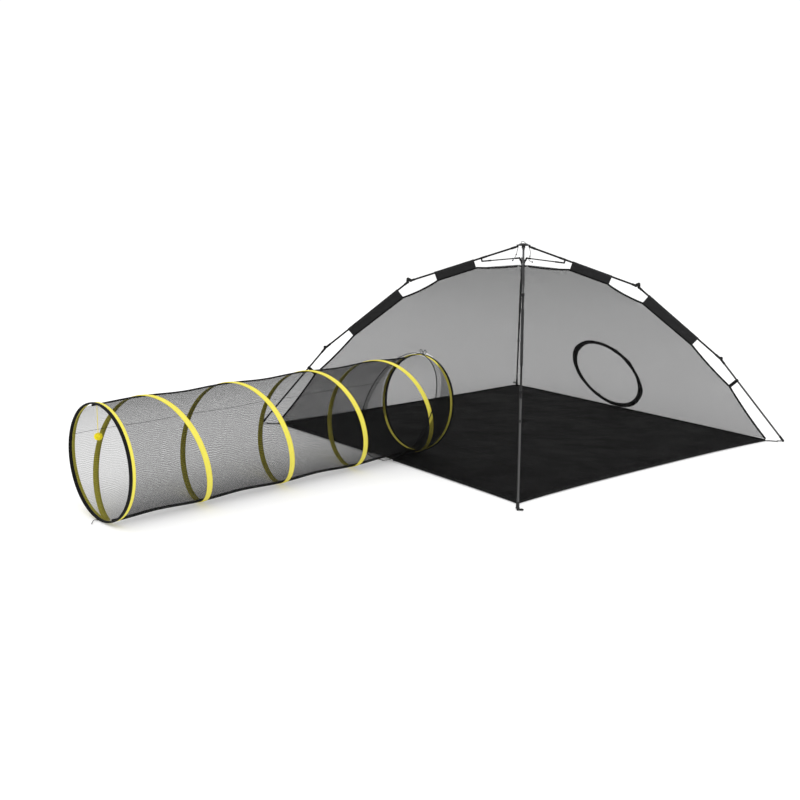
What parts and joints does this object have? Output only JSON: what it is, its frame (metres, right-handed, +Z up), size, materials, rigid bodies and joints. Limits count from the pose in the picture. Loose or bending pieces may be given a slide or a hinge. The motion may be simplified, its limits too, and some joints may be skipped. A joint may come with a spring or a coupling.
{
  "type": "pop-up pet tent with play tunnel",
  "caption": "Square pop-up mesh pet tent on folding hub-and-elbow arms, with a collapsible spring-coil play tunnel through one wall and a round zipped door opposite.",
  "frame": {"origin": "middle of the tent's square floor, on the ground", "axes": "+X from the tunnel's mouth into the tent, +Z up, +Y to the left of someone looking from the mouth into the tent"},
  "size_m": [3.3659, 1.9616, 0.9968],
  "materials": {
    "mesh": "fine square-weave black mesh, see-through",
    "binding": "woven black binding tape",
    "tape": "bright yellow woven tape",
    "floor": "coated black oxford cloth, satin",
    "sleeve": "dark oxford cloth",
    "webbing": "black polypropylene webbing",
    "pole": "black coated tube, satin",
    "fitting": "moulded black nylon",
    "shaft": "bright steel tube",
    "spring": "spring steel wire",
    "plush": "yellow plush",
    "yellow_cord": "yellow cord",
    "cord": "thin black cord",
    "zip": "black moulded zip slider"
  },
  "bodies": {
    "tent_base": {"floor_sheet": "floor", "floor_hem": "binding", "mesh_canopy": "mesh", "port_collar": "binding", "door_ring": "binding", "corner_straps": "webbing", "tunnel_mesh": "mesh", "tunnel_spring": "spring", "tunnel_tape": "tape", "inner_ring": "binding"},
    "hub": {"hub_head": "fitting", "hub_cap": "fitting", "hub_shaft": "shaft", "release_cords": "cord"},
    "runner": {"runner": "fitting"},
    "tunnel_mouth": {"mouth_ring": "binding"},
    "toy": {"toy_cord": "yellow_cord", "toy_ball": "plush"},
    "door": {"door_flap": "mesh"},
    "door_zip": {"zip_slider": "zip"},
    "strut_1": {"strut_1": "pole"},
    "upper_arm_1": {"upper_pole_1": "pole", "upper_fittings_1": "fitting", "upper_sleeve_1": "sleeve"},
    "mid_arm_1": {"mid_pole_1": "pole", "mid_fittings_1": "fitting", "mid_sleeve_1": "sleeve"},
    "lower_arm_1": {"lower_pole_1": "pole", "lower_fittings_1": "fitting", "foot_1": "fitting"},
    "strut_2": {"strut_2": "pole"},
    "upper_arm_2": {"upper_pole_2": "pole", "upper_fittings_2": "fitting", "upper_sleeve_2": "sleeve"},
    "mid_arm_2": {"mid_pole_2": "pole", "mid_fittings_2": "fitting", "mid_sleeve_2": "sleeve"},
    "lower_arm_2": {"lower_pole_2": "pole", "lower_fittings_2": "fitting", "foot_2": "fitting"},
    "strut_3": {"strut_3": "pole"},
    "upper_arm_3": {"upper_pole_3": "pole", "upper_fittings_3": "fitting", "upper_sleeve_3": "sleeve"},
    "mid_arm_3": {"mid_pole_3": "pole", "mid_fittings_3": "fitting", "mid_sleeve_3": "sleeve"},
    "lower_arm_3": {"lower_pole_3": "pole", "lower_fittings_3": "fitting", "foot_3": "fitting"},
    "strut_4": {"strut_4": "pole"},
    "upper_arm_4": {"upper_pole_4": "pole", "upper_fittings_4": "fitting", "upper_sleeve_4": "sleeve"},
    "mid_arm_4": {"mid_pole_4": "pole", "mid_fittings_4": "fitting", "mid_sleeve_4": "sleeve"},
    "lower_arm_4": {"lower_pole_4": "pole", "lower_fittings_4": "fitting", "foot_4": "fitting"}
  },
  "joints": [
    {"name": "hub_drop", "type": "slide", "parent": "tent_base", "child": "hub", "axis": [0, 0, -1], "range_m": [0, 0.35], "deforming": ["mesh_canopy", "corner_straps"]},
    {"name": "runner_slide", "type": "slide", "parent": "hub", "child": "runner", "axis": [0, 0, 1], "range_m": [0, 0.05527]},
    {"name": "strut_1_swing", "type": "hinge", "parent": "runner", "child": "strut_1", "pos_m": [-0.01273, -0.01273, 0.912], "axis": [0.7071, -0.7071, 0], "range_deg": [0, 85.34]},
    {"name": "arm_1_fold", "type": "hinge", "parent": "hub", "child": "upper_arm_1", "pos_m": [-0.02121, -0.02121, 0.97], "axis": [0.7071, -0.7071, 0], "range_deg": [0, 71.15], "deforming": ["upper_sleeve_1"]},
    {"name": "elbow_a_1", "type": "hinge", "parent": "upper_arm_1", "child": "mid_arm_1", "pos_m": [-0.41451, -0.41451, 0.79309], "axis": [-0.7071, 0.7071, 0], "range_deg": [0, 200.69], "deforming": ["mid_sleeve_1"]},
    {"name": "elbow_b_1", "type": "hinge", "parent": "mid_arm_1", "child": "lower_arm_1", "pos_m": [-0.72156, -0.72156, 0.42644], "axis": [-0.7071, 0.7071, 0], "range_deg": [0, 190.95]},
    {"name": "strut_2_swing", "type": "hinge", "parent": "runner", "child": "strut_2", "pos_m": [0.01273, -0.01273, 0.912], "axis": [0.7071, 0.7071, 0], "range_deg": [0, 85.34]},
    {"name": "arm_2_fold", "type": "hinge", "parent": "hub", "child": "upper_arm_2", "pos_m": [0.02121, -0.02121, 0.97], "axis": [0.7071, 0.7071, 0], "range_deg": [0, 71.15], "deforming": ["upper_sleeve_2"]},
    {"name": "elbow_a_2", "type": "hinge", "parent": "upper_arm_2", "child": "mid_arm_2", "pos_m": [0.41451, -0.41451, 0.79309], "axis": [-0.7071, -0.7071, 0], "range_deg": [0, 200.69], "deforming": ["mid_sleeve_2"]},
    {"name": "elbow_b_2", "type": "hinge", "parent": "mid_arm_2", "child": "lower_arm_2", "pos_m": [0.72156, -0.72156, 0.42644], "axis": [-0.7071, -0.7071, 0], "range_deg": [0, 190.95]},
    {"name": "strut_3_swing", "type": "hinge", "parent": "runner", "child": "strut_3", "pos_m": [0.01273, 0.01273, 0.912], "axis": [-0.7071, 0.7071, 0], "range_deg": [0, 85.34]},
    {"name": "arm_3_fold", "type": "hinge", "parent": "hub", "child": "upper_arm_3", "pos_m": [0.02121, 0.02121, 0.97], "axis": [-0.7071, 0.7071, 0], "range_deg": [0, 71.15], "deforming": ["upper_sleeve_3"]},
    {"name": "elbow_a_3", "type": "hinge", "parent": "upper_arm_3", "child": "mid_arm_3", "pos_m": [0.41451, 0.41451, 0.79309], "axis": [0.7071, -0.7071, 0], "range_deg": [0, 200.69], "deforming": ["mid_sleeve_3"]},
    {"name": "elbow_b_3", "type": "hinge", "parent": "mid_arm_3", "child": "lower_arm_3", "pos_m": [0.72156, 0.72156, 0.42644], "axis": [0.7071, -0.7071, 0], "range_deg": [0, 190.95]},
    {"name": "strut_4_swing", "type": "hinge", "parent": "runner", "child": "strut_4", "pos_m": [-0.01273, 0.01273, 0.912], "axis": [-0.7071, -0.7071, 0], "range_deg": [0, 85.34]},
    {"name": "arm_4_fold", "type": "hinge", "parent": "hub", "child": "upper_arm_4", "pos_m": [-0.02121, 0.02121, 0.97], "axis": [-0.7071, -0.7071, 0], "range_deg": [0, 71.15], "deforming": ["upper_sleeve_4"]},
    {"name": "elbow_a_4", "type": "hinge", "parent": "upper_arm_4", "child": "mid_arm_4", "pos_m": [-0.41451, 0.41451, 0.79309], "axis": [0.7071, 0.7071, 0], "range_deg": [0, 200.69], "deforming": ["mid_sleeve_4"]},
    {"name": "elbow_b_4", "type": "hinge", "parent": "mid_arm_4", "child": "lower_arm_4", "pos_m": [-0.72156, 0.72156, 0.42644], "axis": [0.7071, 0.7071, 0], "range_deg": [0, 190.95]},
    {"name": "tunnel_collapse", "type": "slide", "parent": "tent_base", "child": "tunnel_mouth", "axis": [0.9972, 0.075, 0], "range_m": [0, 1.4], "deforming": ["tunnel_mesh", "tunnel_spring", "tunnel_tape"]},
    {"name": "toy_swing", "type": "hinge", "parent": "tunnel_mouth", "child": "toy", "pos_m": [-2.36016, -0.08489, 0.4635], "axis": [-0.075, 0.9972, 0], "range_deg": [-60, 60]},
    {"name": "door_open", "type": "hinge", "parent": "tent_base", "child": "door", "pos_m": [0.88724, 0.075, 0.03466], "axis": [0, 1, 0], "range_deg": [0, 100], "deforming": ["door_flap"]},
    {"name": "zip_travel", "type": "hinge", "parent": "tent_base", "child": "door_zip", "pos_m": [0.78226, 0.075, 0.22113], "axis": [0.8714, 0, 0.4906], "range_deg": [0, 290]}
  ],
  "couplings": [
    {"joint": "runner_slide", "follows": "hub_drop", "ratio": 0.15763},
    {"joint": "strut_1_swing", "follows": "hub_drop", "rad_per_m": 4.2544},
    {"joint": "arm_1_fold", "follows": "hub_drop", "rad_per_m": 3.5469},
    {"joint": "elbow_a_1", "follows": "hub_drop", "rad_per_m": 10.007},
    {"joint": "strut_2_swing", "follows": "hub_drop", "rad_per_m": 4.2544},
    {"joint": "arm_2_fold", "follows": "hub_drop", "rad_per_m": 3.5469},
    {"joint": "elbow_a_2", "follows": "hub_drop", "rad_per_m": 10.007},
    {"joint": "strut_3_swing", "follows": "hub_drop", "rad_per_m": 4.2544},
    {"joint": "arm_3_fold", "follows": "hub_drop", "rad_per_m": 3.5469},
    {"joint": "elbow_a_3", "follows": "hub_drop", "rad_per_m": 10.007},
    {"joint": "strut_4_swing", "follows": "hub_drop", "rad_per_m": 4.2544},
    {"joint": "arm_4_fold", "follows": "hub_drop", "rad_per_m": 3.5469},
    {"joint": "elbow_a_4", "follows": "hub_drop", "rad_per_m": 10.007}
  ]
}
